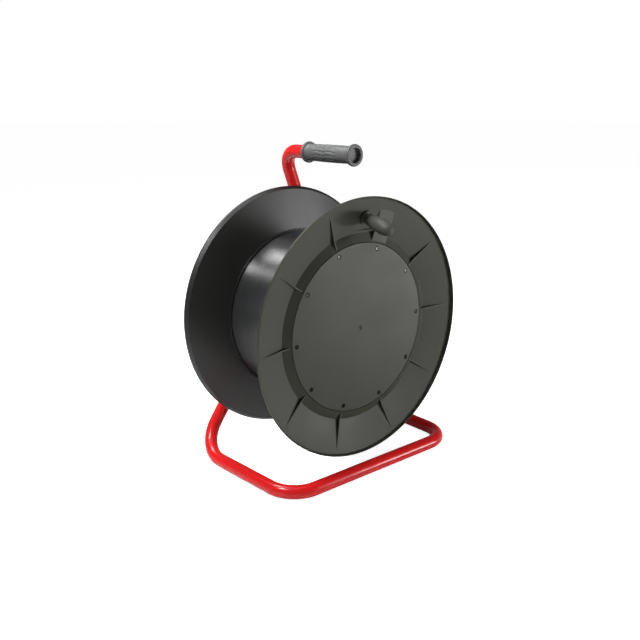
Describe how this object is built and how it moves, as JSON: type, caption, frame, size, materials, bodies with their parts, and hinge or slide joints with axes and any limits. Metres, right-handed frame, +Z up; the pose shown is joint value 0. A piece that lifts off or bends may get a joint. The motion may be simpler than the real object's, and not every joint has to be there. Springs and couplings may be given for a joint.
{
  "type": "cable drum with stand",
  "caption": "Empty cable drum with dished ribbed flanges and a crank, turning on an axle held by a one-piece bent-tube stand with a rubber carrying grip.",
  "frame": {"origin": "floor level under the middle of the bounding box, on the vertical plane through the drum's axis", "axes": "+Z up, -Y towards the crank side of the drum, +Y towards the legs, X across; the drum turns about a line along Y at Z = 0.220"},
  "size_m": [0.38, 0.2502, 0.4786],
  "materials": {
    "red_enamel": "glossy red enamel on bent steel tube",
    "flange_plastic": "semi-matte moulded plastic, warm black",
    "barrel_plastic": "glossy black plastic",
    "crank_plastic": "smooth dark grey plastic",
    "grip_rubber": "soft dark grey rubber",
    "steel": "bright turned steel",
    "screw_steel": "blackened steel"
  },
  "bodies": {
    "stand": {"stand_tube": "red_enamel", "axle": "steel", "axle_washer": "steel", "axle_clip": "steel", "carry_grip": "grip_rubber"},
    "drum": {"front_flange": "flange_plastic", "rear_flange": "flange_plastic", "barrel": "barrel_plastic", "front_cover": "flange_plastic", "crank_pin": "steel", "cover_screw_01": "screw_steel", "cover_screw_02": "screw_steel", "cover_screw_03": "screw_steel", "cover_screw_04": "screw_steel", "cover_screw_05": "screw_steel", "cover_screw_06": "screw_steel", "cover_screw_07": "screw_steel", "cover_screw_08": "screw_steel", "cover_screw_09": "screw_steel", "cover_screw_10": "screw_steel"},
    "crank": {"crank_grip": "crank_plastic"}
  },
  "joints": [
    {"name": "drum_spin", "type": "hinge", "parent": "stand", "child": "drum", "pos_m": [0, 0, 0.22], "axis": [0, 1, 0], "continuous": true},
    {"name": "crank_spin", "type": "hinge", "parent": "drum", "child": "crank", "pos_m": [0.00753, -0.07265, 0.37961], "axis": [-0.0123, -0.9651, -0.2615], "continuous": true}
  ]
}
